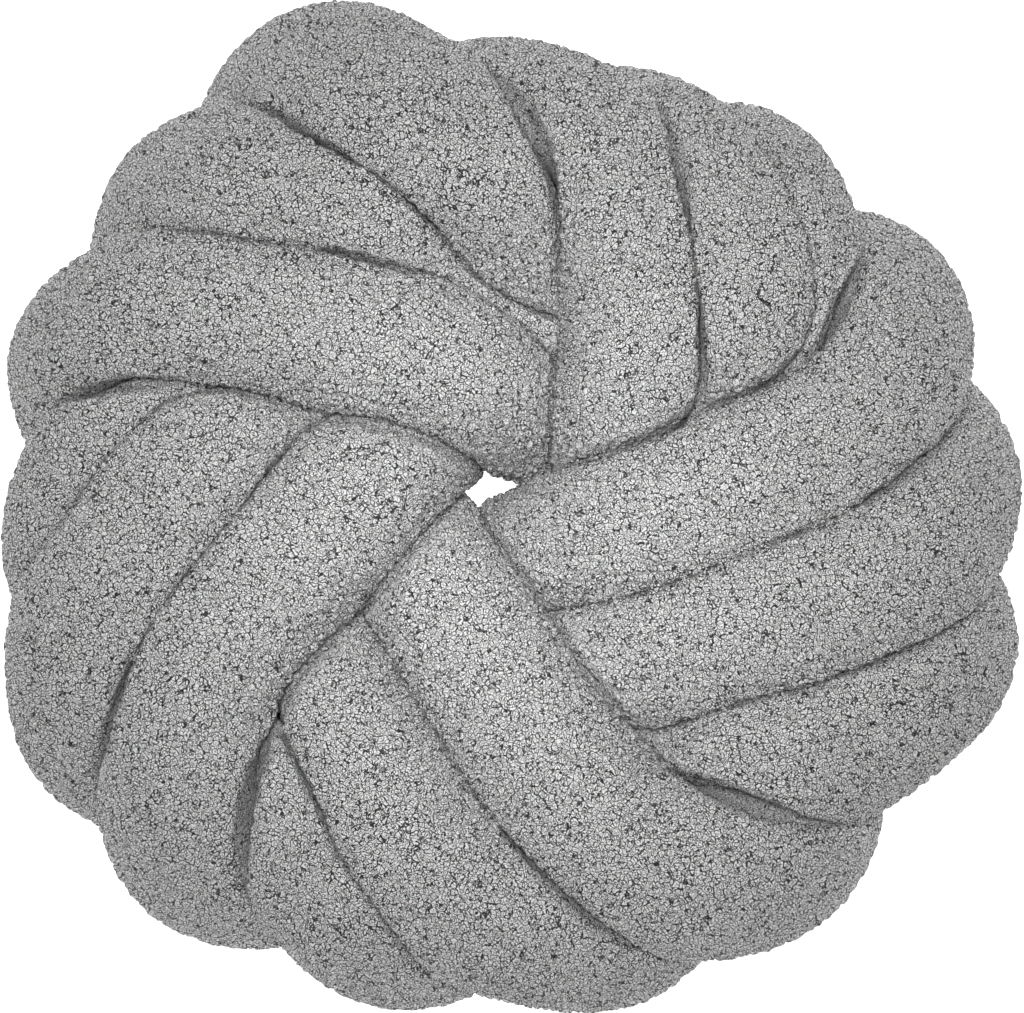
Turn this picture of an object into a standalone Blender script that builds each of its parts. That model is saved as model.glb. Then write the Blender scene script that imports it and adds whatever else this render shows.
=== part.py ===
"""A round floor cushion: one long stuffed bouclé tube knotted in three passes.

The face shows fifteen runs of the tube, in five bundles of three. Each run
comes over the rim, crosses the face and dives under the next bundle. It then
crosses the back to another lobe of the rim. The back is the face turned over.
Units are metres, +Z is up, and the cushion lies on its back at z = 0.
"""

import math

import bpy
import numpy as np

# Driving dimensions
HALF_THICKNESS = 0.057
FOLD_REACH = 0.020  # how far inward the tube is guided as it turns over the rim
FOLD_RISE = 0.027  # how far it is guided up or down from the rim there
SQUASH = 0.003  # how much the resting side gives under the cushion's weight
BACK_DRAW = 0.95  # the back is drawn in a little, so that the face hides it
PASS_GAP = 0.0018  # air between two passes pressed together
BEND_SHARE = 0.88  # how much of a bend's inner radius the stuffing fills
SAME_RUN = 0.065  # parts of the tube nearer than this along it are one run
CONTACT_POWER = 12.0  # how sharply a round side meets a flat contact
LEAST_REACH = 0.004
NEARBY = 0.11  # passes further off than this never touch
END_ROUNDING = 0.022
INNER_SWELL = 0.22  # how much further the stuffing spreads inside the knot
KNOT_SIZE = np.array((0.18, 0.18, 0.06))  # half sizes of the knot's round form
DEEP_INSIDE = 4.0  # per metre: below this the stuffing spreads less
PATH_STEP = 0.0025
SPAN_SAMPLES = 30  # of the spline between two control points, before even steps
SMOOTHING = 2  # steps on each side over which the reach is evened out
BEND_WEIGHT = 0.045  # how strongly a bend draws sections closer together
SHARPEST_BEND = 60.0  # per metre
SECTION_POINTS = 12
SECTIONS = 480
SCALE = 0.001  # the tables are in millimetres

# The middle of the hole that goes through the cushion
HOLE = np.array((-8.5, 4.9))

# Each run of the tube on the face, in millimetres. A row gives the rim point
# and three points towards the middle, how far from the hole it dives, the
# heights of the last three points, and the tube's radius at rim, middle and
# dive.
#       rim         outer       middle      inner      dive  heights     radii
RUNS = {
    "A1": ( -153,   52,  -117,   73,   -45,   60,   -15,   45,    33,   88, 91, 87,   29, 32, 27),
    "A2": ( -113,  108,   -61,  111,   -48,  104,   -31,   80,    57,   82, 88, 70,   32, 31, 26),
    "A3": (  -66,  146,   -25,  125,    -6,  119,     5,   93,    85,   88, 91, 72,   36, 32, 30),
    "B1": (  -10,  138,    41,  120,    51,   60,    41,   40,    49,   88, 91, 87,   30, 32, 28),
    "B2": (   45,  126,    80,   92,    80,   66,    70,   45,    75,   88, 91, 75,   31, 32, 27),
    "B3": (   84,  116,    98,   79,   103,   64,    96,   41,   103,   78, 81, 70,   29, 27, 26),
    "C1": (  131,   71,   126,   25,    46,   -5,    23,  -12,    30,   88, 91, 76,   32, 32, 26),
    "C2": (  149,   12,   132,  -26,    91,  -37,    55,  -53,    64,   88, 91, 87,   34, 32, 29),
    "C3": (  151,  -49,   112,  -82,    82,  -90,    64,  -93,   107,   78, 91, 70,   32, 31, 26),
    "D1": (   93, -117,    48, -126,    21, -105,   -21,  -36,    34,   88, 91, 87,   37, 32, 28),
    "D2": (   37, -149,   -20, -137,   -44, -107,   -63,  -70,    72,   88, 91, 87,   31, 32, 29),
    "D3": (  -40, -149,   -65, -125,   -83, -103,   -82,  -83,   105,   78, 91, 74,   32, 29, 29),
    "E1": ( -107, -120,  -114,  -62,   -90,  -30,   -45,   16,    35,   88, 91, 87,   36, 32, 29),
    "E2": ( -146,  -81,  -147,  -37,  -114,   12,   -98,   26,    67,   88, 91, 84,   30, 32, 26),
    "E3": ( -153,  -24,  -147,    8,  -132,   29,  -116,   43,    98,   78, 82, 70,   28, 27, 30),
}

# The runs in the order in which the tube makes them. The tube starts and ends
# between the two layers, beside the dives of runs D2 and D3.
START = "D2"
START_SHARE = 0.6  # the first end lies this far from the dive to the back
STOP_SHARE = 0.5  # and the last end this far from the face to the dive
ORDER = "A2 C2 E2 B2 D2 A1 C3 E1 B3 D1 A3 C1 E3 B1 D3".split()
LANE_SHIFT = {"D2": "D3"}  # this run's back half takes its neighbour's way

# How much of the misfit at the rim each mirrored point of a back half takes up
MIRROR_SHARES = {"inner": 0.1, "middle": 0.4, "outer": 0.75}


def read_run(name):
    row = RUNS[name]
    points = np.array(row[0:8], dtype=float).reshape(4, 2)
    return {
        "points": points,
        "dive": row[8],
        "heights": np.array(row[9:12], dtype=float),
        "radii": np.array(row[12:15], dtype=float),
    }


def next_run(name):
    """The run that begins where this one's back half reaches the rim."""
    bundle = "CDEAB"["ABCDE".index(name[0])]
    return bundle + str(4 - int(name[1]))


def dive_direction(name):
    """The way from the hole to the dive, halfway between the two rim points."""
    here = read_run(name)["points"][0] - HOLE
    there = read_run(next_run(name))["points"][0] - HOLE
    start = math.atan2(here[1], here[0])
    turn = (start - math.atan2(there[1], there[0])) % (2 * math.pi)
    return np.array([math.cos(start - turn / 2), math.sin(start - turn / 2)])


def rim_fold(rim, toward, radius, side):
    """The guide point beside the rim: side is +1 on the face and -1 behind."""
    inward = (toward - rim) / np.linalg.norm(toward - rim)
    place = rim + inward * FOLD_REACH / SCALE
    return [*place, (HALF_THICKNESS + side * FOLD_RISE) / SCALE, radius]


def front_half(name):
    """Rim to dive on the face: rows of x, y, height and radius."""
    run = read_run(name)
    rim, outer, middle, inner = run["points"]
    rim_radius, middle_radius, dive_radius = run["radii"]
    outer_height, middle_height, inner_height = run["heights"]
    rows = [[*rim, HALF_THICKNESS / SCALE, rim_radius]]
    rows.append(rim_fold(rim, outer, rim_radius, 1))
    rows.append([*outer, outer_height, (rim_radius + middle_radius) / 2])
    rows.append([*middle, middle_height, middle_radius])
    rows.append([*inner, inner_height, dive_radius])
    return rows


def dive_point(name):
    run = read_run(name)
    place = HOLE + run["dive"] * dive_direction(name)
    return [*place, HALF_THICKNESS / SCALE, run["radii"][2]]


def back_half(name):
    """Dive to rim on the back: the front half mirrored in the dive's line."""
    run = read_run(name)
    after = read_run(next_run(name))
    along = dive_direction(name)
    mirrored = []
    for point in run["points"]:
        offset = point - HOLE
        mirrored.append(HOLE + 2 * along * (offset @ along) - offset)
    miss = after["points"][0] - mirrored[0]
    inner = mirrored[3] + MIRROR_SHARES["inner"] * miss
    middle = mirrored[2] + MIRROR_SHARES["middle"] * miss
    outer = mirrored[1] + MIRROR_SHARES["outer"] * miss
    outer = HOLE + (outer - HOLE) * BACK_DRAW
    rim_radius = after["radii"][0]
    radii = [run["radii"][2], run["radii"][1], (run["radii"][1] + rim_radius) / 2]
    rows = []
    for place, radius, height in zip((inner, middle, outer), radii, run["heights"][::-1]):
        lowest = radius - SQUASH / SCALE
        rows.append([*place, max(2 * HALF_THICKNESS / SCALE - height, lowest), radius])
    rim = after["points"][0]
    rows.append(rim_fold(rim, outer, rim_radius, -1))
    return rows


def part_way(first, second, share):
    return list(np.array(first) * (1 - share) + np.array(second) * share)


def strand_points():
    """Every control point of the tube's centre line, from end to end."""
    behind = back_half(START)
    rows = [part_way(dive_point(START), behind[0], START_SHARE)] + behind
    for name in ORDER:
        rows += front_half(name)
        way = LANE_SHIFT.get(name, name)
        if name == ORDER[-1]:
            rows.append(part_way(rows[-1], dive_point(name), STOP_SHARE))
        else:
            rows.append(part_way(dive_point(name), dive_point(way), 0.5))
            rows += back_half(way)
    return np.array(rows) * SCALE


def smooth_path(rows, step):
    """A cubic B-spline guided by the rows, sampled at equal steps."""
    first = 2 * rows[0] - rows[1]
    last = 2 * rows[-1] - rows[-2]
    rows = np.vstack([first, rows, last])
    t = np.linspace(0.0, 1.0, SPAN_SAMPLES, endpoint=False)[:, None]
    weights = (
        (1 - t) ** 3 / 6,
        (3 * t**3 - 6 * t**2 + 4) / 6,
        (-3 * t**3 + 3 * t**2 + 3 * t + 1) / 6,
        t**3 / 6,
    )
    spans = []
    for k in range(len(rows) - 3):
        spans.append(sum(w * rows[k + j] for j, w in enumerate(weights)))
    curve = np.vstack(spans)
    lengths = np.linalg.norm(np.diff(curve[:, :3], axis=0), axis=1)
    along = np.concatenate([[0.0], np.cumsum(lengths)])
    at = np.linspace(0.0, along[-1], int(along[-1] / step) + 1)
    return np.stack([np.interp(at, along, curve[:, k]) for k in range(4)], axis=1), at


def carried_frames(centre):
    """Tangents, and two cross directions carried along without twist."""
    tangent = np.gradient(centre, axis=0)
    tangent /= np.linalg.norm(tangent, axis=1)[:, None]
    side = np.empty_like(tangent)
    start = np.cross(tangent[0], [0.0, 0.0, 1.0])
    side[0] = start / np.linalg.norm(start)
    for k in range(1, len(centre)):
        carried = side[k - 1] - tangent[k] * (side[k - 1] @ tangent[k])
        side[k] = carried / np.linalg.norm(carried)
    return tangent, side, np.cross(tangent, side)


def bend_vectors(centre, at):
    """Curvature as a vector towards the inside of each bend."""
    first = np.gradient(centre, at, axis=0)
    return np.gradient(first, at, axis=0)


def inner_share(place, direction):
    """1 for directions that face into the knot, 0 for those facing out."""
    outward = (place - np.array((*HOLE * SCALE, HALF_THICKNESS))) / KNOT_SIZE**2
    outward /= max(np.linalg.norm(outward), DEEP_INSIDE)
    t = np.clip((-direction @ outward - 0.1) / 0.8, 0.0, 1.0)
    return t * t * (3 - 2 * t)


def section_reach(index, direction, centre, radius, at, bend):
    """How far the tube reaches from its centre line in each direction.

    It stops at its own radius, at the plane between it and any other pass, and
    short of the axis of a bend.
    """
    here = centre[index]
    own = radius[index]
    other = np.abs(at - at[index]) > SAME_RUN
    offset = centre[other] - here
    distance = np.linalg.norm(offset, axis=1)
    near = distance < NEARBY
    offset = offset[near]
    distance = distance[near]
    theirs = radius[other][near]
    toward = direction @ offset.T
    plane = distance**2 + own**2 - theirs**2 - PASS_GAP * distance
    reach = np.where(toward > 1e-6, plane / (2 * np.maximum(toward, 1e-6)), 1.0)
    limit = reach.min(axis=1) if len(distance) else np.ones(len(direction))
    inward = direction @ bend[index]
    limit = np.minimum(limit, BEND_SHARE / np.maximum(inward, 1e-3))
    limit = np.maximum(limit, LEAST_REACH)
    own = own * (1 + INNER_SWELL * inner_share(here, direction))
    return (own**-CONTACT_POWER + limit**-CONTACT_POWER) ** (-1 / CONTACT_POWER)


def smooth_reach(reach, half):
    """Evens the reach out along the tube and never lets it grow."""
    count = len(reach)
    padded = np.pad(reach, ((half, half), (0, 0)), mode="edge")
    least = np.min([padded[k : k + count] for k in range(2 * half + 1)], axis=0)
    padded = np.pad(least, ((half, half), (0, 0)), mode="edge")
    return np.mean([padded[k : k + count] for k in range(2 * half + 1)], axis=0)


def pick_sections(bend, at, count):
    """Sections closer together where the tube bends."""
    weight = 1.0 + BEND_WEIGHT * np.minimum(np.linalg.norm(bend, axis=1), SHARPEST_BEND)
    smooth = np.convolve(weight, np.ones(9) / 9, mode="same")
    share = np.concatenate([[0.0], np.cumsum((smooth[1:] + smooth[:-1]) / 2 * np.diff(at))])
    wanted = np.linspace(0.0, share[-1], count)
    return np.unique(np.round(np.interp(wanted, share, np.arange(len(at)))).astype(int))


def tube_surface():
    """Vertices and faces of the whole tube, with both ends closed."""
    path, at = smooth_path(strand_points(), PATH_STEP)
    centre = path[:, :3]
    radius = path[:, 3].copy()
    from_end = np.minimum(at, at[-1] - at)
    short = np.clip(1 - from_end / END_ROUNDING, 0.0, 0.97)
    radius *= np.sqrt(1 - short**2)
    tangent, side, up = carried_frames(centre)
    bend = bend_vectors(centre, at)
    chosen = pick_sections(bend, at, SECTIONS)
    angles = np.arange(SECTION_POINTS) * 2 * math.pi / SECTION_POINTS
    cos = np.cos(angles)[None, :, None]
    sin = np.sin(angles)[None, :, None]
    direction = cos * side[:, None, :] + sin * up[:, None, :]
    reach = np.array(
        [section_reach(k, direction[k], centre, radius, at, bend) for k in range(len(at))]
    )
    reach = smooth_reach(reach, SMOOTHING)
    rings = (centre[:, None, :] + direction * reach[:, :, None])[chosen]
    vertices = np.vstack([rings.reshape(-1, 3), rings[0].mean(axis=0), rings[-1].mean(axis=0)])
    vertices[:, 2] = np.maximum(vertices[:, 2], 0.0)
    faces = []
    for row in range(len(rings) - 1):
        for column in range(SECTION_POINTS):
            after = (column + 1) % SECTION_POINTS
            low = row * SECTION_POINTS
            high = low + SECTION_POINTS
            faces.append((low + column, low + after, high + after, high + column))
    first_pole = len(rings) * SECTION_POINTS
    last_row = (len(rings) - 1) * SECTION_POINTS
    for column in range(SECTION_POINTS):
        after = (column + 1) % SECTION_POINTS
        faces.append((first_pole, after, column))
        faces.append((first_pole + 1, last_row + column, last_row + after))
    return vertices, faces


def boucle_material():
    material = bpy.data.materials.new("grey_boucle")
    material.use_nodes = True
    shader = material.node_tree.nodes["Principled BSDF"]
    shader.inputs["Base Color"].default_value = (0.31, 0.31, 0.305, 1.0)
    shader.inputs["Roughness"].default_value = 0.95
    shader.inputs["Metallic"].default_value = 0.0
    material.diffuse_color = (0.31, 0.31, 0.305, 1.0)
    return material


def main():
    for thing in list(bpy.data.objects):
        bpy.data.objects.remove(thing, do_unlink=True)
    group = bpy.data.collections.new("knot_cushion")
    bpy.context.scene.collection.children.link(group)
    vertices, faces = tube_surface()
    middle = (vertices[:, :2].min(axis=0) + vertices[:, :2].max(axis=0)) / 2
    vertices[:, :2] -= middle
    mesh = bpy.data.meshes.new("knotted_tube")
    mesh.from_pydata(vertices.tolist(), [], faces)
    mesh.validate()
    mesh.update()
    mesh.shade_smooth()
    mesh.materials.append(boucle_material())
    group.objects.link(bpy.data.objects.new("knotted_tube", mesh))


main()
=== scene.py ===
import math

import bpy
import numpy as np
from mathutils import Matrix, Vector


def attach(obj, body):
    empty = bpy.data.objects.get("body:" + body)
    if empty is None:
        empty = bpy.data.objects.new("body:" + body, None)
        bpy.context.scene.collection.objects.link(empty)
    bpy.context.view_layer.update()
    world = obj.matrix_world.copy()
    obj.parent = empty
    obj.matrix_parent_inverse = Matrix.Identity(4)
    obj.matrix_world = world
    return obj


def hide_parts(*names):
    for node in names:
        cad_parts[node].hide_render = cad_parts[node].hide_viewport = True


# A round floor cushion: one long stuffed boucle tube, woven into a knot that goes round three times
# and crosses its face in fifteen passes. The face looks up, and lengths are in millimetres until a
# mesh is made.

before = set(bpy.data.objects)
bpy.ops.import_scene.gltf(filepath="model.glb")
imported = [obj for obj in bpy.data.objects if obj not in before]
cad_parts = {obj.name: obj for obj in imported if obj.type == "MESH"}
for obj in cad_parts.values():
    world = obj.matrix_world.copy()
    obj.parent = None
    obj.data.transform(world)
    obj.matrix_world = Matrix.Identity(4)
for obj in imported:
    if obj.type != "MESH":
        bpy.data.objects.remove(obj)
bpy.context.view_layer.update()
print("frame loaded")

mm = 0.001
tiny = 1e-9  # keeps a division away from zero


# small helpers


def linearColour(hexCode):
    # sRGB hex to linear light, channel by channel
    values = [int(hexCode[k : k + 2], 16) / 255 for k in (0, 2, 4)]
    linear = [v / 12.92 if v <= 0.04045 else ((v + 0.055) / 1.055) ** 2.4 for v in values]
    return (*linear, 1.0)


def addNode(tree, kind, links=None, stops=(), **settings):
    # one shader node with its settings; links maps an input to another node's output, and a
    # ramp's stops are (position, tone), a tone being a hex colour or a grey level
    node = tree.nodes.new(kind)
    for key, value in settings.items():
        if key.startswith("in_"):
            name = key[3:]
            node.inputs[int(name) if name.isdigit() else name].default_value = value
        else:
            setattr(node, key, value)
    for socket, source in (links or {}).items():
        tree.links.new(source, node.inputs[socket])
    if stops:
        elements = node.color_ramp.elements
        while len(elements) < len(stops):
            elements.new(0.5)
        for element, (position, tone) in zip(elements, stops):
            element.position = position
            element.color = linearColour(tone) if isinstance(tone, str) else (tone, tone, tone, 1.0)
    return node


def smoothStep(low, high, x):
    # 3 t^2 - 2 t^3, where t runs from 0 at low to 1 at high
    t = np.clip((x - low) / (high - low), 0.0, 1.0)
    return t * t * (3 - 2 * t)


# the tube's way through the knot

knot = {
    "halfThickness": 57.0,  # height at which the tube turns over the rim
    "foldReach": 20.0,  # the tube is guided this far in as it turns over the rim
    "foldRise": 27.0,  # and this far up or down
    "squash": 3.0,  # the resting side gives this much
    "backDraw": 0.95,  # the back is drawn in so that the face hides it
    "backMend": ((3, 0.1), (2, 0.4), (1, 0.75)),  # point, and its share of the way to the next rim point
    "startShare": 0.6,  # the tube starts this far from its first dive to the back
    "hole": (-8.5, 4.9),  # middle of the hole through the cushion
    "outlineMiddle": (0.4, 0.1),  # moved to the origin
    "splineSamples": 30,  # for each span of the centre line
    "start": "D2",
    "order": "A2 C2 E2 B2 D2 A1 C3 E1 B3 D1 A3 C1 E3 B1 D3".split(),
    "laneShift": {"D2": "D3"},  # this pass goes on in its neighbour's lane
    # rim x y, outer x y, middle x y, inner x y, dive distance, three heights, three radii
    "runs": {
        "A1": ( -153,   52,  -117,   73,   -45,   60,   -15,   45,    33,   88, 91, 87,   29, 32, 27),
        "A2": ( -113,  108,   -61,  111,   -48,  104,   -31,   80,    57,   82, 88, 70,   32, 31, 26),
        "A3": (  -66,  146,   -25,  125,    -6,  119,     5,   93,    85,   88, 91, 72,   36, 32, 30),
        "B1": (  -10,  138,    41,  120,    51,   60,    41,   40,    49,   88, 91, 87,   30, 32, 28),
        "B2": (   45,  126,    80,   92,    80,   66,    70,   45,    75,   88, 91, 75,   31, 32, 27),
        "B3": (   84,  116,    98,   79,   103,   64,    96,   41,   103,   78, 81, 70,   29, 27, 26),
        "C1": (  131,   71,   126,   25,    46,   -5,    23,  -12,    30,   88, 91, 76,   32, 32, 26),
        "C2": (  149,   12,   132,  -26,    91,  -37,    55,  -53,    64,   88, 91, 87,   34, 32, 29),
        "C3": (  151,  -49,   112,  -82,    82,  -90,    64,  -93,   107,   78, 91, 70,   32, 31, 26),
        "D1": (   93, -117,    48, -126,    21, -105,   -21,  -36,    34,   88, 91, 87,   37, 32, 28),
        "D2": (   37, -149,   -20, -137,   -44, -107,   -63,  -70,    72,   88, 91, 87,   31, 32, 29),
        "D3": (  -40, -149,   -65, -125,   -83, -103,   -82,  -83,   105,   78, 91, 74,   32, 29, 29),
        "E1": ( -107, -120,  -114,  -62,   -90,  -30,   -45,   16,    35,   88, 91, 87,   36, 32, 29),
        "E2": ( -146,  -81,  -147,  -37,  -114,   12,   -98,   26,    67,   88, 91, 84,   30, 32, 26),
        "E3": ( -153,  -24,  -147,    8,  -132,   29,  -116,   43,    98,   78, 82, 70,   28, 27, 30),
    },
}


def runOf(name):
    # a pass's four points on the face, how far from the hole it dives, its heights and its radii
    row = np.array(knot["runs"][name], dtype=float)
    return {"points": row[:8].reshape(4, 2), "dive": row[8], "heights": row[9:12], "radii": row[12:]}


def nextRun(name):
    # the tube leaves bundle A for C, C for E and so on, and the lanes swap sides
    return "CDEAB"["ABCDE".index(name[0])] + str(4 - int(name[1]))


def diveDirection(name):
    # the way from the hole that halves the angle between the two rim points
    hole = np.array(knot["hole"])
    here = runOf(name)["points"][0] - hole
    there = runOf(nextRun(name))["points"][0] - hole
    start = math.atan2(here[1], here[0])
    turn = (start - math.atan2(there[1], there[0])) % (2 * math.pi)
    return np.array([math.cos(start - turn / 2), math.sin(start - turn / 2)])


def rimFold(rim, toward, radius, side):
    # a little in from the rim, and up on the face (side 1) or down on the back (side -1)
    inward = (toward - rim) / np.linalg.norm(toward - rim)
    place = rim + inward * knot["foldReach"]
    return [*place, knot["halfThickness"] + side * knot["foldRise"], radius]


def frontHalf(name):
    # over the rim and across the face, up to where the pass tucks under
    run = runOf(name)
    points, heights, radii = run["points"], run["heights"], run["radii"]
    rows = [[*points[0], knot["halfThickness"], radii[0]]]
    rows.append(rimFold(points[0], points[1], radii[0], 1))
    rows.append([*points[1], heights[0], (radii[0] + radii[1]) / 2])
    rows.append([*points[2], heights[1], radii[1]])
    rows.append([*points[3], heights[2], radii[2]])
    return rows


def divePoint(name):
    # half way down through the knot, on the dive's line from the hole
    run = runOf(name)
    place = np.array(knot["hole"]) + run["dive"] * diveDirection(name)
    return [*place, knot["halfThickness"], run["radii"][2]]


def backHalf(name):
    # the front half mirrored in the dive's line, so the back looks like the face; the mirror
    # misses the next rim point by a little, which is made good step by step
    run = runOf(name)
    following = runOf(nextRun(name))
    radii = run["radii"]
    hole = np.array(knot["hole"])
    along = diveDirection(name)
    offsets = run["points"] - hole
    mirrored = hole + 2 * np.outer(offsets @ along, along) - offsets
    miss = following["points"][0] - mirrored[0]
    places = [mirrored[k] + share * miss for k, share in knot["backMend"]]
    places[2] = hole + (places[2] - hole) * knot["backDraw"]
    widths = [radii[2], radii[1], (radii[1] + following["radii"][0]) / 2]
    rows = []
    for place, radius, height in zip(places, widths, run["heights"][::-1]):
        lowest = radius - knot["squash"]
        rows.append([*place, max(2 * knot["halfThickness"] - height, lowest), radius])
    rows.append(rimFold(following["points"][0], places[-1], following["radii"][0], -1))
    return rows


def partWay(first, second, share):
    # first (1 - share) + second share
    return list(np.array(first) * (1 - share) + np.array(second) * share)


def strandRows():
    # control rows of x, y, height and radius, and the row number of each dive
    behind = backHalf(knot["start"])
    rows = [partWay(divePoint(knot["start"]), behind[0], knot["startShare"])] + behind
    dives = [0]
    for name in knot["order"]:
        rows += frontHalf(name)
        way = knot["laneShift"].get(name, name)
        dives.append(len(rows))
        if name == knot["order"][-1]:
            rows.append(partWay(rows[-1], divePoint(name), 0.5))
        else:
            rows.append(partWay(divePoint(name), divePoint(way), 0.5))
            rows += backHalf(way)
    return np.array(rows), dives


def smoothPath(rows, step):
    # cubic B-spline: each span mixes four rows with weights (1-t)^3, ... , t^3 over 6, and the
    # curve is then read again at even steps of its own length
    samples = knot["splineSamples"]
    padded = np.vstack([2 * rows[0] - rows[1], rows, 2 * rows[-1] - rows[-2]])
    t = np.linspace(0.0, 1.0, samples, endpoint=False)[:, None]
    weights = np.stack(
        [
            (1 - t) ** 3 / 6,
            (3 * t**3 - 6 * t**2 + 4) / 6,
            (-3 * t**3 + 3 * t**2 + 3 * t + 1) / 6,
            t**3 / 6,
        ]
    )
    quads = np.stack([padded[k : len(padded) - 3 + k] for k in range(4)])
    curve = np.einsum("wti,wsr->str", weights, quads).reshape(-1, 4)
    along = np.r_[0.0, np.cumsum(np.linalg.norm(np.diff(curve[:, :3], axis=0), axis=1))]
    at = np.linspace(0.0, along[-1], int(along[-1] / step) + 1)
    rowAt = np.interp(np.arange(len(rows)) * samples, np.arange(len(along)), along)
    return np.stack([np.interp(at, along, curve[:, k]) for k in range(4)], axis=1), at, rowAt


def carriedFrames(centre):
    # two directions across the tube, carried along it without twist: each step keeps what of the
    # last direction is square to the tangent
    tangent = np.gradient(centre, axis=0)
    tangent /= np.linalg.norm(tangent, axis=1)[:, None]
    side = np.empty_like(tangent)
    side[0] = np.cross(tangent[0], [0.0, 0.0, 1.0])
    side[0] /= np.linalg.norm(side[0])
    for k in range(1, len(centre)):
        carried = side[k - 1] - tangent[k] * (side[k - 1] @ tangent[k])
        side[k] = carried / np.linalg.norm(carried)
    return side, np.cross(tangent, side)


# how far the stuffing reaches from the centre line

stuffing = {
    "step": 2.5,  # along the centre line
    "angles": 72,  # around the tube
    "passGap": -1.2,  # the curls of two passes reach this far into each other
    "bendShare": 0.9,  # how much of a bend's inner radius is filled
    "sameRun": 65.0,  # parts nearer than this along the tube are one run
    "touchRange": 110.0,  # parts further apart than this never touch
    "neighbours": 170,  # this many nearest steps of the centre line are asked for a contact
    "contactPower": 36.0,  # how sharply a round side meets a flat contact
    "smoothSteps": 2,  # steps on each side that a contact is evened out over
    "leastReach": 4.0,
    "endRounding": 22.0,  # each end is round over this length
    "endCut": 0.985,  # the share of it that is built, which stops just short of a point
    "innerSwell": 0.22,  # how much further it spreads on the side inside the knot
    "innerFrom": 0.1,  # and where that starts and is full, by how much a direction faces in
    "innerTo": 0.9,
    "knotWidth": 180.0,  # half axes of the ellipsoid that tells which way is out
    "knotHeight": 60.0,
    "deepInside": 0.004,  # where its gradient is smaller, a direction faces out only in part
    "shoulder": 0.04,  # how much fuller than round the tube is beside its top
    "freeFrom": 0.95,  # limit against radius, from pressed to free
    "freeTo": 1.08,
    "squeezedFrom": 0.98,  # limit against the stuffed width, from squeezed to not
    "squeezedTo": 1.07,
    "creaseSeen": 12.0,  # how far from a crease its painted shade may reach
}


def reachLimits(centre, radius, at, side, up, angles):
    # the plane between a section and another pass lies where both spheres' powers match:
    # reach = (d^2 + own^2 - theirs^2 - gap d) / (2 direction . offset), the least over them
    never = 1e9  # stands for a part that isn't met at all
    ahead = 1e-3  # a part sets a limit only where it lies this far ahead of a direction
    unlimited = 1e3
    gap = np.linalg.norm(centre[:, None] - centre[None], axis=2)
    gap[np.abs(at[:, None] - at[None]) <= stuffing["sameRun"]] = never
    near = np.argpartition(gap, stuffing["neighbours"], axis=1)[:, : stuffing["neighbours"]]
    distance = np.take_along_axis(gap, near, axis=1)
    offset = centre[near] - centre[:, None]
    plane = distance**2 + radius[:, None] ** 2 - radius[near] ** 2
    plane -= stuffing["passGap"] * distance
    plane[distance > stuffing["touchRange"]] = never
    alongSide = np.einsum("nki,ni->nk", offset, side)
    alongUp = np.einsum("nki,ni->nk", offset, up)
    limit = np.empty((len(centre), len(angles)))
    for column, angle in enumerate(angles):
        toward = math.cos(angle) * alongSide + math.sin(angle) * alongUp
        reached = plane / (2 * np.maximum(toward, ahead))
        limit[:, column] = np.where(toward > ahead, reached, unlimited).min(axis=1)
    return limit


def pressedWidth(centre, side, up, angles):
    # how the stuffing spreads: more on the side inside the knot, and on the face and the
    # back more to both sides of the top, 1 + a inner + b z^2 (2 f sqrt(1 - f^2))^2, where
    # f is how much a direction faces out along the gradient of a flat ellipsoid
    outward = centre - np.array([*knot["hole"], knot["halfThickness"]])
    outward /= np.array([stuffing["knotWidth"], stuffing["knotWidth"], stuffing["knotHeight"]]) ** 2
    length = np.linalg.norm(outward, axis=1)
    outward /= np.maximum(length, stuffing["deepInside"])[:, None]
    facing = np.outer((outward * side).sum(1), np.cos(angles))
    facing += np.outer((outward * up).sum(1), np.sin(angles))
    inner = smoothStep(stuffing["innerFrom"], stuffing["innerTo"], -facing)
    shoulder = np.where(facing > 0, 4 * facing**2 * (1 - np.minimum(facing**2, 1.0)), 0.0)
    shoulder *= outward[:, 2:] ** 2
    return 1 + stuffing["innerSwell"] * inner + stuffing["shoulder"] * shoulder


def awayFromCrease(own, limit):
    # how far along the surface a crease is: with q = own reach / limit, which falls from 1 there,
    # (1 - q) / (slope of q), the slope being taken per millimetre around the section
    deepest = 2.0  # q is cut here, well inside a crease
    leastSlope = 1e-3
    q = np.minimum(own / limit, deepest)
    arc = 2 * math.pi / own.shape[1] * own
    slope = np.abs(np.roll(q, -1, axis=1) - np.roll(q, 1, axis=1)) / (2 * arc)
    seen = stuffing["creaseSeen"]
    return np.clip((1 - q) / np.maximum(slope, leastSlope), -seen, seen)


def evenOut(values, half, axis):
    # least over a window and then the mean over it, so that nothing grows; around the tube the
    # window wraps, and along it the ends repeat
    mode = "wrap" if axis else "edge"
    pads = [(0, 0), (0, 0)]
    pads[axis] = (half, half)
    count = values.shape[axis]
    take = lambda a, k: np.take(a, np.arange(k, k + count), axis=axis)
    padded = np.pad(values, pads, mode=mode)
    least = np.min([take(padded, k) for k in range(2 * half + 1)], axis=0)
    padded = np.pad(least, pads, mode=mode)
    return np.mean([take(padded, k) for k in range(2 * half + 1)], axis=0)


rows, diveRows = strandRows()
path, at, rowAt = smoothPath(rows, stuffing["step"])
centre = path[:, :3]
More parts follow.
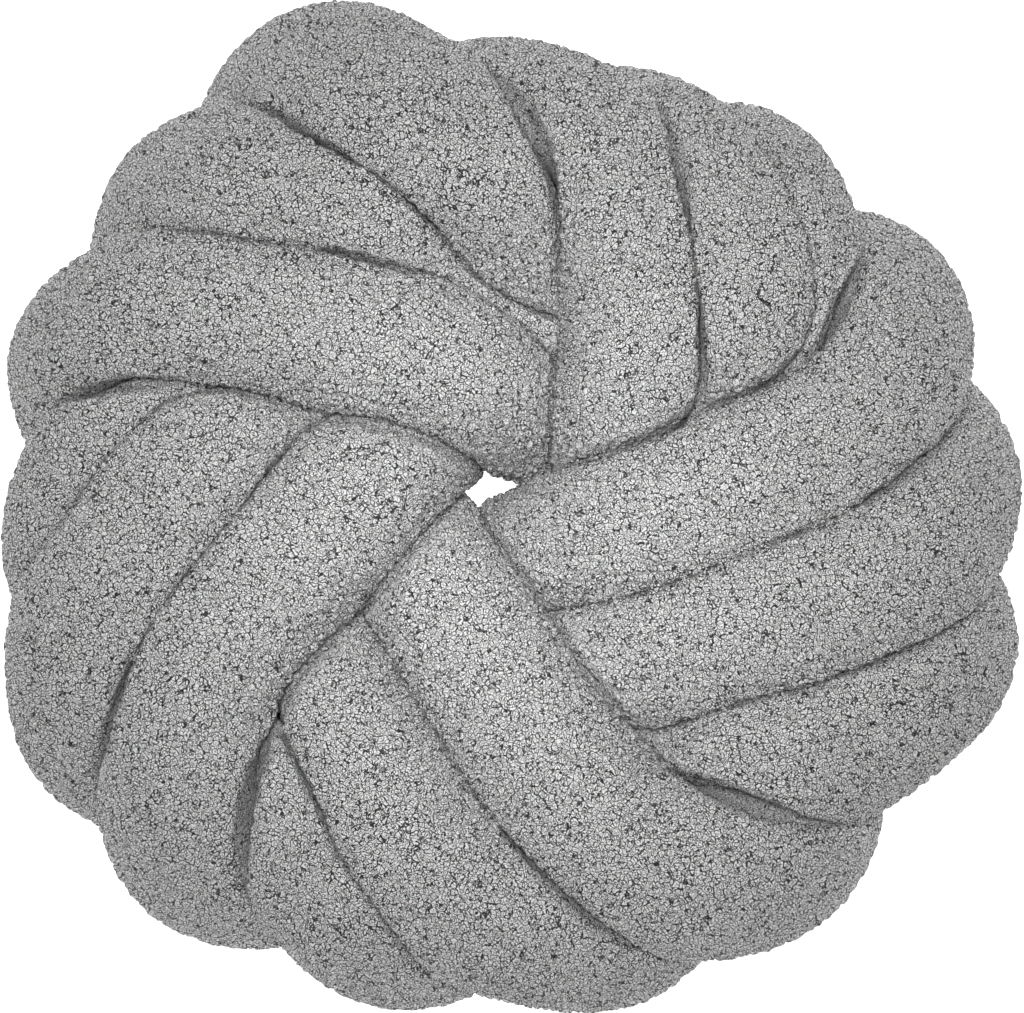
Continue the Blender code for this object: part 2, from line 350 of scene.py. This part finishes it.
# round ends: radius sqrt(1 - s^2), where s runs from 0 to almost 1 at the end
fromEnd = np.minimum(at, at[-1] - at)
short = np.clip(1 - fromEnd / stuffing["endRounding"], 0.0, stuffing["endCut"])
radius = path[:, 3] * np.sqrt(1 - short**2)
side, up = carriedFrames(centre)
bend = np.gradient(np.gradient(centre, at, axis=0), at, axis=0)
angles = np.arange(stuffing["angles"]) * 2 * math.pi / stuffing["angles"]
limit = reachLimits(centre, radius, at, side, up, angles)
own = radius[:, None] * pressedWidth(centre, side, up, angles)
away = awayFromCrease(own, limit)
# on a bend's inner side the stuffing stops short of the middle that the tube bends around
leastBend = 1e-4
inward = np.outer((bend * side).sum(1), np.cos(angles)) + np.outer((bend * up).sum(1), np.sin(angles))
limit = np.minimum(limit, stuffing["bendShare"] / np.maximum(inward, leastBend))
limit = np.maximum(evenOut(limit, stuffing["smoothSteps"], 0), stuffing["leastReach"])
# soft least of both: (own^-p + limit^-p)^(-1/p)
power = stuffing["contactPower"]
reach = (own**-power + limit**-power) ** (-1 / power)
# free is 1 where nothing presses on the tube, and squeezed is 1 where two passes meet
free = smoothStep(stuffing["freeFrom"], stuffing["freeTo"], limit / radius[:, None])
squeezed = 1 - smoothStep(stuffing["squeezedFrom"], stuffing["squeezedTo"], limit / own)
print("centre line", round(at[-1] * mm, 2), "m, sections worked out")

# the fine surface: a grid of along the tube by around it

surface = {
    "trianglesInAll": 940000,
    "around": 96,
    "hiddenDensity": 0.07,  # points on pressed sides, against free ones
    "hiddenRings": 0.15,  # rings to a length where none of the tube shows, against a shown part
    "shownFrom": 0.02,  # share of a ring that is free, from hidden to shown
    "shownTo": 0.2,
    "blendAlong": 3,  # sections over which the density changes
    "blendAround": 1,
    "quickLook": 3,
}


def ringPlaces(shown):
    # rings stand closer where more of the tube shows
    weight = smoothStep(surface["shownFrom"], surface["shownTo"], shown)
    weight = surface["hiddenRings"] + (1 - surface["hiddenRings"]) * weight
    share = np.r_[0.0, np.cumsum((weight[1:] + weight[:-1]) / 2 * np.diff(at))]
    count = surface["trianglesInAll"] // (2 * surface["around"])
    return np.interp(np.linspace(0, share[-1], count), share, np.arange(len(at)))


def mixRings(values, place):
    # linear mix between the two nearest base sections
    low = np.clip(place.astype(int), 0, len(values) - 2)
    part = (place - low).reshape(-1, *([1] * (values.ndim - 1)))
    return values[low] * (1 - part) + values[low + 1] * part


def aroundAngles(density):
    # angle(u) is where the running sum of the density reaches the share u of its total
    total = np.cumsum(np.concatenate([density, density[:, :1]], axis=1), axis=1)
    total = (total - total[:, :1]) / (total[:, -1:] - total[:, :1])
    wanted = np.arange(surface["around"]) / surface["around"]
    low = (total[:, None, :] <= wanted[None, :, None]).sum(axis=2) - 1
    low = np.clip(low, 0, density.shape[1] - 1)
    before = np.take_along_axis(total, low, axis=1)
    after = np.take_along_axis(total, low + 1, axis=1)
    part = (wanted[None] - before) / np.maximum(after - before, tiny)
    return (low + part) * 2 * math.pi / density.shape[1]


def aroundMix(table, theta):
    # periodic linear read of a table by angle
    spot = theta / (2 * math.pi) * stuffing["angles"]
    low = np.floor(spot).astype(int)
    part = spot - low
    first = np.take_along_axis(table, low % stuffing["angles"], axis=1)
    second = np.take_along_axis(table, (low + 1) % stuffing["angles"], axis=1)
    return first * (1 - part) + second * part


spread = 1 - evenOut(evenOut(1 - free, surface["blendAlong"], 0), surface["blendAround"], 1)
place = ringPlaces(spread.mean(axis=1))
ringCentre = mixRings(centre, place)
ringSide = mixRings(side, place)
ringUp = mixRings(up, place)
theta = aroundAngles(surface["hiddenDensity"] + (1 - surface["hiddenDensity"]) * mixRings(spread, place))
ringReach = aroundMix(mixRings(reach, place), theta)
freeHere = aroundMix(mixRings(free, place), theta)
squeezedHere = aroundMix(mixRings(squeezed, place), theta)
awayHere = aroundMix(mixRings(away, place), theta)
# centre + reach (cos theta side + sin theta up)
direction = np.cos(theta)[..., None] * ringSide[:, None] + np.sin(theta)[..., None] * ringUp[:, None]
smooth = ringCentre[:, None] + direction * ringReach[..., None]
smooth[..., :2] -= np.array(knot["outlineMiddle"])


def gridNormals(points):
    # cross product of the two grid directions, the second one periodic
    alongTube = np.gradient(points, axis=0)
    aroundTube = np.roll(points, -1, axis=1) - np.roll(points, 1, axis=1)
    normal = np.cross(aroundTube, alongTube)
    normal /= np.linalg.norm(normal, axis=2)[..., None] + tiny
    return normal


# boucle: looped yarn that curls into small round knots

boucle = {
    "curl": 3.4,  # width of one curl
    "height": 1.8,  # how far a curl stands out
    "dome": 0.55,  # how fast a curl falls off from its middle
    "gapDepth": 0.75,  # how deep the gap between two curls is, against the curl
    "gapWidth": 0.38,  # and how wide, in curls
    "least": 0.85,  # height of the lowest curls, and how much more the highest have
    "more": 0.3,
    "level": 0.65,  # the curl's height that lies on the smooth tube
    "soft": 14.0,  # width of the cloth's own slack
    "softHeight": 0.35,
    "softLevel": 0.6,  # so many widths from its middle the slack neither lifts nor sinks
    "pressedLift": 0.7,  # height of a pressed curl against a free one
    "seed": 7,
    "softSeed": 27,
}

chances = {
    "axisPrimes": (73856093, 19349663, 83492791),
    "saltPrime": 374761393,
    "mixers": ((13, 1274126177), (16, 668265263)),  # shift and factor
    "lastShift": 15,
    "positive": 0x7FFFFFFF,  # keeps a number under 2^31
    "parts": 65521,  # a prime; the remainder by it, over it, is the chance
    "margin": 0.1,  # a scattered point keeps this far from its cell's walls
    "restir": 7.13,  # makes another chance from a point's first one
}


def scramble(cell, salt):
    # a repeatable number from 0 to 1 for each whole-number cell: its places times large primes,
    # joined bit by bit, then shifted onto itself and multiplied
    alongX, alongY, alongZ = chances["axisPrimes"]
    n = cell[..., 0] * alongX ^ cell[..., 1] * alongY ^ cell[..., 2] * alongZ
    n = (n + salt * chances["saltPrime"]) & chances["positive"]
    for shift, factor in chances["mixers"]:
        n = ((n ^ (n >> shift)) * factor) & chances["positive"]
    return (n ^ (n >> chances["lastShift"])) % chances["parts"] / chances["parts"]


def curlField(points, size, seed):
    # distance to the nearest and next scattered point, one point to a cell, in cells
    beyond = 9.0  # further than any of them
    margin = chances["margin"]
    spot = points / size
    home = np.floor(spot).astype(np.int64)
    nearest = np.full(len(points), beyond)
    second = np.full(len(points), beyond)
    chance = np.zeros(len(points))
    for i in (-1, 0, 1):
        for j in (-1, 0, 1):
            for k in (-1, 0, 1):
                cell = home + np.array([i, j, k])
                jitter = np.stack([scramble(cell, seed + salt) for salt in (1, 2, 3)], axis=-1)
                gap = np.linalg.norm(cell + margin + (1 - 2 * margin) * jitter - spot, axis=-1)
                closer = gap < nearest
                second = np.where(closer, nearest, np.minimum(second, gap))
                chance = np.where(closer, jitter[:, 0] * chances["restir"] % 1.0, chance)
                nearest = np.where(closer, gap, nearest)
    return nearest, second, chance


normal = gridNormals(smooth)
flat = smooth.reshape(-1, 3)
nearest, second, chance = curlField(flat, boucle["curl"], boucle["seed"])
# a curl's height: a dome 1 - a nearest^2, times a dip at its border with the next curl
dip = smoothStep(0.0, boucle["gapWidth"], second - nearest)
knob = (1 - boucle["dome"] * nearest**2) * (1 - boucle["gapDepth"] + boucle["gapDepth"] * dip)
knob = knob * (boucle["least"] + boucle["more"] * chance)
slack = boucle["softLevel"] - curlField(flat, boucle["soft"], boucle["softSeed"])[0]
lift = boucle["height"] * (knob - boucle["level"]) + boucle["softHeight"] * slack
lift *= (boucle["pressedLift"] + (1 - boucle["pressedLift"]) * freeHere).reshape(-1)
points = flat + normal.reshape(-1, 3) * lift[:, None]
points[:, 2] = np.maximum(points[:, 2], 0.0)  # flat where it rests
points = points.reshape(smooth.shape) * mm
knob = knob.reshape(smooth.shape[:2])
print("surface", points.shape[0], "by", points.shape[1])


# materials

yarn = {
    # widths and distances in millimetres; a share is how much a thing counts in the cloth's tone
    "curl": 2.2,  # width of a large curl
    "curlShare": 1.9,
    "small": 1.5,  # and of a small one
    "smallShare": 1.7,
    "ring": 1.9,  # spacing of the curls that lie open as rings
    "ringShare": 1.6,
    "fibre": 0.45,  # single fibres are too fine to show, so their grain is drawn this coarse
    "fibreShare": 2.8,
    "curlHeightShare": 0.1,  # raised curls are a little paler: painted shade, darker low between the curls
    "curlHeightZero": 0.6,
    "squeezedShare": 0.45,  # squeezed sides are paler: painted light that lifts the shade where two passes meet
    "squeezedZero": 0.0,
    "creaseShadeShare": 1.2,  # painted shade: a dark line where two passes meet
    "creaseShadeWidth": 1.6,
    "softShadeShare": 0.22,  # and a soft painted shade beside it
    "softShadeWidth": 6.0,
    "ragged": 3.0,  # how far the line is pushed about by the fading noise
    "curlRagged": 1.5,  # and by the curls' outlines
    "wander": 1.8,  # size and reach of the outlines' wandering
    "wanderBy": 1.3,
    "fadeSize": 2.8,  # outlines fade in and out over this width
    "fadeFrom": 0.38,
    "fadeTo": 0.58,
    "fadeLeast": 0.5,
    # (distance in curls, level): a dark outline with a bright edge, and the same as a ring; the curls are
    # the yarn's own, but the dark outline is painted shade in the gap between curls and the bright edge a
    # painted highlight
    "outline": [(0.0, 0.0), (0.05, 0.05), (0.11, 0.95), (0.2, 0.65), (0.34, 0.5)],
    "ringLine": [
        (0.0, 0.5),
        (0.18, 0.55),
        (0.26, 0.95),
        (0.33, 0.0),
        (0.37, 0.05),
        (0.44, 0.85),
        (0.55, 0.5),
    ],
    "darkAt": -1.4,  # sums of all shares that give the first and the last tone
    "paleAt": 1.4,
    # the palest tone is white, for the painted highlights
    "tones": [(0.0, "303030"), (0.28, "4c4c4d"), (0.43, "a8a8a8"), (0.6, "c6c6c4"), (0.77, "ffffff")],
    "bump": 0.3,
    "roughness": 0.9,
    "specular": 0.15,
    "sheen": 0.1,
    "sheenRoughness": 0.6,
}

middle = 0.5  # of a noise, or of an outline's level


def perMetre(size):
    # how often a pattern of this size in millimetres repeats in a metre
    return 1 / (size * mm)


def boucleMaterial():
    # looped acrylic yarn in mid grey: matt, thin bright and dark lines curling on a grey ground; the dark
    # lines are painted shade in the gaps between curls and in the creases, the bright ones painted
    # highlights on the loops
    material = bpy.data.materials.new("loopedBoucle")
    material.use_nodes = True
    tree = material.node_tree
    tree.nodes.clear()
    output = addNode(tree, "ShaderNodeOutputMaterial")
    shader = addNode(tree, "ShaderNodeBsdfPrincipled", in_Roughness=yarn["roughness"])
    shader.inputs["Specular IOR Level"].default_value = yarn["specular"]
    shader.inputs["Sheen Weight"].default_value = yarn["sheen"]
    shader.inputs["Sheen Roughness"].default_value = yarn["sheenRoughness"]
    tree.links.new(shader.outputs[0], output.inputs["Surface"])
    place = addNode(tree, "ShaderNodeTexCoord").outputs["Object"]
    # the curls' outlines wander, so that none has straight sides: place + reach * (noise - 1/2)
    drift = addNode(
        tree,
        "ShaderNodeTexNoise",
        {"Vector": place},
        in_Scale=perMetre(yarn["wander"]),
        in_Detail=0.0,
    ).outputs["Color"]
    centred = addNode(
        tree,
        "ShaderNodeVectorMath",
        {0: drift},
        operation="SUBTRACT",
        in_1=(middle,) * 3,
    ).outputs[0]
    bent = addNode(
        tree,
        "ShaderNodeVectorMath",
        {0: centred, 2: place},
        operation="MULTIPLY_ADD",
        in_1=(yarn["wanderBy"] * mm,) * 3,
    ).outputs[0]
    # and fade in and out, each kind by a channel of its own
    fade = addNode(
        tree,
        "ShaderNodeTexNoise",
        {"Vector": place},
        in_Scale=perMetre(yarn["fadeSize"]),
        in_Detail=0.0,
    )
    fades = addNode(tree, "ShaderNodeSeparateColor", {"Color": fade.outputs["Color"]})

    def curlLines(kind, feature, stops, channel):
        # 2 share fade (level(distance) - 1/2), from the border between cells or from a cell's middle
        scale = perMetre(yarn[kind])
        share = yarn[kind + "Share"]
        cells = addNode(tree, "ShaderNodeTexVoronoi", {"Vector": bent}, feature=feature, in_Scale=scale)
        profile = addNode(tree, "ShaderNodeValToRGB", {"Fac": cells.outputs["Distance"]}, yarn[stops])
        links = {0: profile.outputs[0]}
        signed = addNode(tree, "ShaderNodeMath", links, operation="SUBTRACT", in_1=middle)
        mask = addNode(
            tree,
            "ShaderNodeMapRange",
            {"Value": fades.outputs[channel]},
            in_1=yarn["fadeFrom"],
            in_2=yarn["fadeTo"],
            in_3=yarn["fadeLeast"] * 2 * share,
            in_4=2 * share,
        )
        links = {0: signed.outputs[0], 1: mask.outputs[0]}
        return addNode(tree, "ShaderNodeMath", links, operation="MULTIPLY").outputs[0]

    # painted shade in the gaps between the curls, and painted highlights on their loops
    large = curlLines("curl", "DISTANCE_TO_EDGE", "outline", 0)
    small = curlLines("small", "DISTANCE_TO_EDGE", "outline", 1)
    rings = curlLines("ring", "F1", "ringLine", 2)
    pair = addNode(tree, "ShaderNodeMath", {0: large, 1: small}, operation="ADD").outputs[0]
    lines = addNode(tree, "ShaderNodeMath", {0: pair, 1: rings}, operation="ADD").outputs[0]
    fibres = addNode(
        tree,
        "ShaderNodeTexNoise",
        {"Vector": place},
        in_Scale=perMetre(yarn["fibre"]),
        in_Detail=0.0,
    ).outputs["Fac"]
    grain = addNode(tree, "ShaderNodeMath", {0: fibres}, operation="SUBTRACT", in_1=middle).outputs[0]
    level = addNode(
        tree,
        "ShaderNodeMath",
        {0: grain, 2: lines},
        operation="MULTIPLY_ADD",
        in_1=yarn["fibreShare"],
    ).outputs[0]
    # the curls' height and the squeezed sides are kept on the mesh: level + share (field - zero); this
    # paints shade low between the curls and paints light on the squeezed sides where two passes meet
    for field in ("curlHeight", "squeezed"):
        value = addNode(tree, "ShaderNodeAttribute", attribute_name=field).outputs["Fac"]
        above = addNode(
            tree,
            "ShaderNodeMath",
            {0: value},
            operation="SUBTRACT",
            in_1=yarn[field + "Zero"],
        ).outputs[0]
        level = addNode(
            tree,
            "ShaderNodeMath",
            {0: above, 2: level},
            operation="MULTIPLY_ADD",
            in_1=yarn[field + "Share"],
        ).outputs[0]
    # |distance + ragged (noise - 1/2) + curlRagged lines|, so that the painted dark line of shade in a crease isn't ruled but follows the curls
    away = addNode(tree, "ShaderNodeAttribute", attribute_name="creaseAway").outputs["Fac"]
    away = addNode(
        tree,
        "ShaderNodeMath",
        {0: fade.outputs["Fac"], 2: away},
        operation="MULTIPLY_ADD",
        in_1=yarn["ragged"],
    ).outputs[0]
    away = addNode(
        tree,
        "ShaderNodeMath",
        {0: away},
        operation="SUBTRACT",
        in_1=yarn["ragged"] * middle,
    ).outputs[0]
    away = addNode(
        tree,
        "ShaderNodeMath",
        {0: lines, 2: away},
        operation="MULTIPLY_ADD",
        in_1=yarn["curlRagged"],
    ).outputs[0]
    away = addNode(tree, "ShaderNodeMath", {0: away}, operation="ABSOLUTE").outputs[0]
    # painted shade along each crease: a dark line, and a soft shade beside it
    for share, width in (("creaseShadeShare", "creaseShadeWidth"), ("softShadeShare", "softShadeWidth")):
        shade = addNode(
            tree,
            "ShaderNodeMapRange",
            {"Value": away},
            interpolation_type="SMOOTHSTEP",
            in_1=0.0,
            in_2=yarn[width],
            in_3=-yarn[share],
            in_4=0.0,
        )
        level = addNode(tree, "ShaderNodeMath", {0: level, 1: shade.outputs[0]}, operation="ADD").outputs[0]
    share = addNode(tree, "ShaderNodeMapRange", {"Value": level}, in_1=yarn["darkAt"], in_2=yarn["paleAt"])
    tone = addNode(tree, "ShaderNodeValToRGB", {"Fac": share.outputs[0]}, yarn["tones"])
    tree.links.new(tone.outputs[0], shader.inputs["Base Color"])
    bump = addNode(tree, "ShaderNodeBump", {"Height": grain}, in_Strength=1.0, in_Distance=yarn["bump"] * mm)
    tree.links.new(bump.outputs[0], shader.inputs["Normal"])
    return material


# the passes, one piece from dive to dive

cloth = boucleMaterial()


def makePass(name, grid, fields):
    # grid of rings by around, with a fan to a middle point at each end; corners go round each face
    # so that its normal looks out
    ringCount, around = grid.shape[:2]
    vertices = np.vstack([grid.reshape(-1, 3), grid[0].mean(axis=0), grid[-1].mean(axis=0)])
    ring = np.arange(ringCount - 1)[:, None] * around
    column = np.arange(around)[None]
    after = (column + 1) % around
    quads = np.stack([ring + column, ring + after, ring + around + after, ring + around + column], axis=-1)
    quads = quads.reshape(-1, 4)
    last = (ringCount - 1) * around
    column, after = column[0], after[0]
    pole = ringCount * around
    firstFan = np.stack([np.full(around, pole), after, column], axis=-1)
    lastFan = np.stack([np.full(around, pole + 1), last + column, last + after], axis=-1)
    mesh = bpy.data.meshes.new(name)
    mesh.vertices.add(len(vertices))
    mesh.vertices.foreach_set("co", vertices.astype(np.float32).ravel())
    corners = np.concatenate([quads.ravel(), firstFan.ravel(), lastFan.ravel()])
    sizes = np.concatenate([np.full(len(quads), 4), np.full(2 * around, 3)])
    mesh.loops.add(len(corners))
    mesh.loops.foreach_set("vertex_index", corners.astype(np.int32))
    mesh.polygons.add(len(sizes))
    mesh.polygons.foreach_set("loop_start", np.r_[0, np.cumsum(sizes)[:-1]].astype(np.int32))
    mesh.update(calc_edges=True)
    mesh.shade_smooth()
    hidden = np.full(2, middle)  # the two middle points lie inside the knot, so any value does
    for field, values in fields.items():
        layer = mesh.attributes.new(field, "FLOAT", "POINT")
        layer.data.foreach_set("value", np.r_[values.ravel(), hidden].astype(np.float32))
    mesh.materials.append(cloth)
    piece = bpy.data.objects.new(name, mesh)
    bpy.context.scene.collection.objects.link(piece)
    return piece


diveAt = rowAt[diveRows]
diveAt[0] = 0.0
diveAt[-1] = at[-1]
diveRings = np.searchsorted(place, np.interp(diveAt, at, np.arange(len(at))))
diveRings[-1] = len(place) - 1
for number, name in enumerate(knot["order"]):
    rings = slice(diveRings[number], diveRings[number + 1] + 1)
    fields = {"curlHeight": knob[rings], "squeezed": squeezedHere[rings], "creaseAway": awayHere[rings]}
    piece = makePass("pass" + name, points[rings], fields)
    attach(piece, "root")
    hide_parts("knotted_tube")
print("passes made")

# floor, light and camera, in metres

studio = {
    "floorSize": 60.0,
    "floorColour": "f4f4f4",
    "floorRoughness": 0.9,
    "floorGlow": 1.3,
    "lampPlace": (-0.05, 0.12, 1.6),
    "lampAim": (0.0, 0.0, 0.09),
    "lampRadius": 0.2,
    "lampAngle": 21.5,  # in degrees; the middle of the cushion is lit more than its rim
    "lampPower": 105.5,  # in watts
    "skyStrength": 0.13,
    "cameraPlace": (-0.0004, -0.0001, 3.0),
    "sensorWidth": 36.0,  # in millimetres
    "widthShown": 0.3620,  # what the picture's width shows at mid height
}

white = (1.0, 1.0, 1.0, 1.0)


def floorMaterial():
    # a pale paper sweep, lit so evenly that it reads as white
    material = bpy.data.materials.new("paleSweep")
    material.use_nodes = True
    shader = material.node_tree.nodes["Principled BSDF"]
    shader.inputs["Base Color"].default_value = linearColour(studio["floorColour"])
    shader.inputs["Roughness"].default_value = studio["floorRoughness"]
    shader.inputs["Emission Color"].default_value = white
    shader.inputs["Emission Strength"].default_value = studio["floorGlow"]
    return material


bpy.ops.mesh.primitive_plane_add(size=studio["floorSize"])
floor = bpy.context.object
floor.name = "floor"
floor.data.materials.append(floorMaterial())

lamp = bpy.data.lights.new("softLamp", "SPOT")
lamp.energy = studio["lampPower"]
lamp.shadow_soft_size = studio["lampRadius"]
lamp.spot_size = math.radians(studio["lampAngle"])
lamp.spot_blend = 1.0
lampObject = bpy.data.objects.new("softLamp", lamp)
lampObject.location = studio["lampPlace"]
beam = Vector(studio["lampPlace"]) - Vector(studio["lampAim"])
lampObject.rotation_euler = beam.to_track_quat("Z", "Y").to_euler()
bpy.context.scene.collection.objects.link(lampObject)

sky = bpy.data.worlds.new("studioSky")
sky.use_nodes = True
sky.node_tree.nodes["Background"].inputs["Color"].default_value = white
sky.node_tree.nodes["Background"].inputs["Strength"].default_value = studio["skyStrength"]
bpy.context.scene.world = sky
bpy.context.scene.view_settings.view_transform = "Standard"

camera = bpy.data.cameras.new("camera")
camera.sensor_width = studio["sensorWidth"]
aboveMiddle = studio["cameraPlace"][2] - knot["halfThickness"] * mm
camera.lens = camera.sensor_width * aboveMiddle / studio["widthShown"]
cameraObject = bpy.data.objects.new("camera", camera)
cameraObject.location = studio["cameraPlace"]
bpy.context.scene.collection.objects.link(cameraObject)
bpy.context.scene.camera = cameraObject
